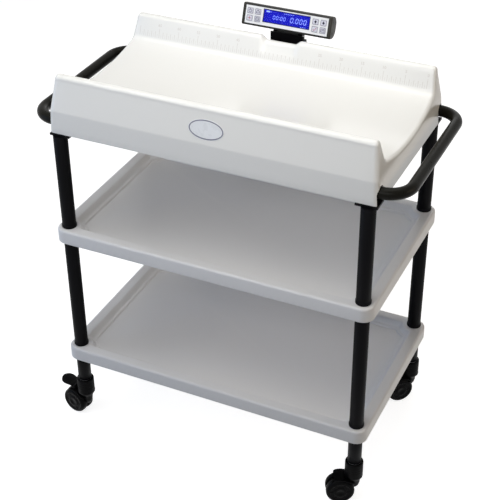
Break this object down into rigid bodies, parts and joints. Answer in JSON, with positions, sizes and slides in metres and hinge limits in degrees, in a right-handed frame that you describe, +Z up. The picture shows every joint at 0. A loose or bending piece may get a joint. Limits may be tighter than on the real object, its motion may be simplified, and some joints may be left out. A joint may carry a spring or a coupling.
{
  "type": "digital baby weighing scale",
  "caption": "Weighing tray with raised long sides on a wheeled trolley with two shelves, end handles, swivel casters with brake pedals, and a tilting display head with keys.",
  "frame": {"origin": "centre of the object's box in plan, on the floor under the wheels", "axes": "+X along the trolley towards the right-hand handle, +Y towards the display behind the tray, +Z up"},
  "size_m": [0.8754, 0.487, 0.9825],
  "materials": {
    "tray_white": "gloss",
    "shelf_white": "gloss",
    "black_paint": "satin",
    "handle_paint": "satin",
    "black_plastic": "satin",
    "wheel_plastic": "gloss",
    "steel": "satin",
    "alloy": "satin",
    "pad_rubber": "matte",
    "head_grey": "satin",
    "cap_black": "satin",
    "panel_white": "gloss",
    "window_clear": "clear",
    "lcd_blue": "gloss",
    "board_green": "matte",
    "key_grey": "satin"
  },
  "bodies": {
    "trolley": {"upper_frame": "black_paint", "load_cell": "alloy", "tray_carrier": "alloy", "carrier_pads": "pad_rubber", "battery_pack": "black_plastic", "handle_left": "handle_paint", "handle_right": "handle_paint", "middle_shelf": "shelf_white", "lower_shelf": "shelf_white", "leg_fl_top": "black_paint", "leg_fl_mid": "black_paint", "leg_fl_foot": "black_paint", "leg_fr_top": "black_paint", "leg_fr_mid": "black_paint", "leg_fr_foot": "black_paint", "leg_bl_top": "black_paint", "leg_bl_mid": "black_paint", "leg_bl_foot": "black_paint", "leg_br_top": "black_paint", "leg_br_mid": "black_paint", "leg_br_foot": "black_paint", "leg_joiners": "black_plastic", "caster_stems": "steel", "display_neck": "black_paint", "tilt_pin": "steel"},
    "tray": {"weigh_tray": "tray_white"},
    "display_head": {"display_housing": "head_grey", "end_cap_left": "cap_black", "end_cap_right": "cap_black", "face_panel": "panel_white", "display_window": "window_clear", "lcd_module": "lcd_blue", "circuit_board": "board_green"},
    "key_body_1": {"key_1": "key_grey"},
    "key_body_2": {"key_2": "key_grey"},
    "key_body_3": {"key_3": "key_grey"},
    "key_body_4": {"key_4": "key_grey"},
    "key_body_5": {"key_5": "key_grey"},
    "key_body_6": {"key_6": "key_grey"},
    "key_body_7": {"key_7": "key_grey"},
    "key_body_8": {"key_8": "key_grey"},
    "caster_fl": {"caster_housing_fl": "black_plastic", "caster_axle_fl": "steel"},
    "wheel_fl_a_body": {"wheel_fl_a": "wheel_plastic"},
    "wheel_fl_b_body": {"wheel_fl_b": "wheel_plastic"},
    "pedal_fl_body": {"brake_pedal_fl": "black_plastic"},
    "caster_fr": {"caster_housing_fr": "black_plastic", "caster_axle_fr": "steel"},
    "wheel_fr_a_body": {"wheel_fr_a": "wheel_plastic"},
    "wheel_fr_b_body": {"wheel_fr_b": "wheel_plastic"},
    "caster_bl": {"caster_housing_bl": "black_plastic", "caster_axle_bl": "steel"},
    "wheel_bl_a_body": {"wheel_bl_a": "wheel_plastic"},
    "wheel_bl_b_body": {"wheel_bl_b": "wheel_plastic"},
    "pedal_bl_body": {"brake_pedal_bl": "black_plastic"},
    "caster_br": {"caster_housing_br": "black_plastic", "caster_axle_br": "steel"},
    "wheel_br_a_body": {"wheel_br_a": "wheel_plastic"},
    "wheel_br_b_body": {"wheel_br_b": "wheel_plastic"}
  },
  "joints": [
    {"name": "tray_lift", "type": "slide", "parent": "trolley", "child": "tray", "axis": [0, 0, 1], "range_m": [0, 0.03]},
    {"name": "display_tilt", "type": "hinge", "parent": "trolley", "child": "display_head", "pos_m": [0, 0.22414, 0.92], "axis": [1, 0, 0], "range_deg": [-26, 12]},
    {"name": "key_1_press", "type": "slide", "parent": "display_head", "child": "key_body_1", "axis": [0, 0.9455, -0.3256], "range_m": [0, 0.0008], "stiffness_N_per_m": 600, "springref_m": -0.001},
    {"name": "key_2_press", "type": "slide", "parent": "display_head", "child": "key_body_2", "axis": [0, 0.9455, -0.3256], "range_m": [0, 0.0008], "stiffness_N_per_m": 600, "springref_m": -0.001},
    {"name": "key_3_press", "type": "slide", "parent": "display_head", "child": "key_body_3", "axis": [0, 0.9455, -0.3256], "range_m": [0, 0.0008], "stiffness_N_per_m": 600, "springref_m": -0.001},
    {"name": "key_4_press", "type": "slide", "parent": "display_head", "child": "key_body_4", "axis": [0, 0.9455, -0.3256], "range_m": [0, 0.0008], "stiffness_N_per_m": 600, "springref_m": -0.001},
    {"name": "key_5_press", "type": "slide", "parent": "display_head", "child": "key_body_5", "axis": [0, 0.9455, -0.3256], "range_m": [0, 0.0008], "stiffness_N_per_m": 600, "springref_m": -0.001},
    {"name": "key_6_press", "type": "slide", "parent": "display_head", "child": "key_body_6", "axis": [0, 0.9455, -0.3256], "range_m": [0, 0.0008], "stiffness_N_per_m": 600, "springref_m": -0.001},
    {"name": "key_7_press", "type": "slide", "parent": "display_head", "child": "key_body_7", "axis": [0, 0.9455, -0.3256], "range_m": [0, 0.0008], "stiffness_N_per_m": 600, "springref_m": -0.001},
    {"name": "key_8_press", "type": "slide", "parent": "display_head", "child": "key_body_8", "axis": [0, 0.9455, -0.3256], "range_m": [0, 0.0008], "stiffness_N_per_m": 600, "springref_m": -0.001},
    {"name": "caster_fl_swivel", "type": "hinge", "parent": "trolley", "child": "caster_fl", "pos_m": [-0.355, -0.19886, 0.1], "axis": [0, 0, 1], "continuous": true},
    {"name": "wheel_fl_a_spin", "type": "hinge", "parent": "caster_fl", "child": "wheel_fl_a_body", "pos_m": [-0.38504, -0.19302, 0.033], "axis": [-0.1908, -0.9816, 0], "continuous": true},
    {"name": "wheel_fl_b_spin", "type": "hinge", "parent": "caster_fl", "child": "wheel_fl_b_body", "pos_m": [-0.38504, -0.19302, 0.033], "axis": [-0.1908, -0.9816, 0], "continuous": true},
    {"name": "pedal_fl_press", "type": "hinge", "parent": "caster_fl", "child": "pedal_fl_body", "pos_m": [-0.38249, -0.19352, 0.077], "axis": [-0.1908, -0.9816, 0], "range_deg": [0, 15]},
    {"name": "caster_fr_swivel", "type": "hinge", "parent": "trolley", "child": "caster_fr", "pos_m": [0.355, -0.19886, 0.1], "axis": [0, 0, 1], "continuous": true},
    {"name": "wheel_fr_a_spin", "type": "hinge", "parent": "caster_fr", "child": "wheel_fr_a_body", "pos_m": [0.32773, -0.21275, 0.033], "axis": [0.454, -0.891, 0], "continuous": true},
    {"name": "wheel_fr_b_spin", "type": "hinge", "parent": "caster_fr", "child": "wheel_fr_b_body", "pos_m": [0.32773, -0.21275, 0.033], "axis": [0.454, -0.891, 0], "continuous": true},
    {"name": "caster_bl_swivel", "type": "hinge", "parent": "trolley", "child": "caster_bl", "pos_m": [-0.355, 0.20114, 0.1], "axis": [0, 0, 1], "continuous": true},
    {"name": "wheel_bl_a_spin", "type": "hinge", "parent": "caster_bl", "child": "wheel_bl_a_body", "pos_m": [-0.38469, 0.19374, 0.033], "axis": [0.2419, -0.9703, 0], "continuous": true},
    {"name": "wheel_bl_b_spin", "type": "hinge", "parent": "caster_bl", "child": "wheel_bl_b_body", "pos_m": [-0.38469, 0.19374, 0.033], "axis": [0.2419, -0.9703, 0], "continuous": true},
    {"name": "pedal_bl_press", "type": "hinge", "parent": "caster_bl", "child": "pedal_bl_body", "pos_m": [-0.38217, 0.19437, 0.077], "axis": [0.2419, -0.9703, 0], "range_deg": [0, 15]},
    {"name": "caster_br_swivel", "type": "hinge", "parent": "trolley", "child": "caster_br", "pos_m": [0.355, 0.20114, 0.1], "axis": [0, 0, 1], "continuous": true},
    {"name": "wheel_br_a_spin", "type": "hinge", "parent": "caster_br", "child": "wheel_br_a_body", "pos_m": [0.33336, 0.1795, 0.033], "axis": [0.7071, -0.7071, 0], "continuous": true},
    {"name": "wheel_br_b_spin", "type": "hinge", "parent": "caster_br", "child": "wheel_br_b_body", "pos_m": [0.33336, 0.1795, 0.033], "axis": [0.7071, -0.7071, 0], "continuous": true}
  ]
}
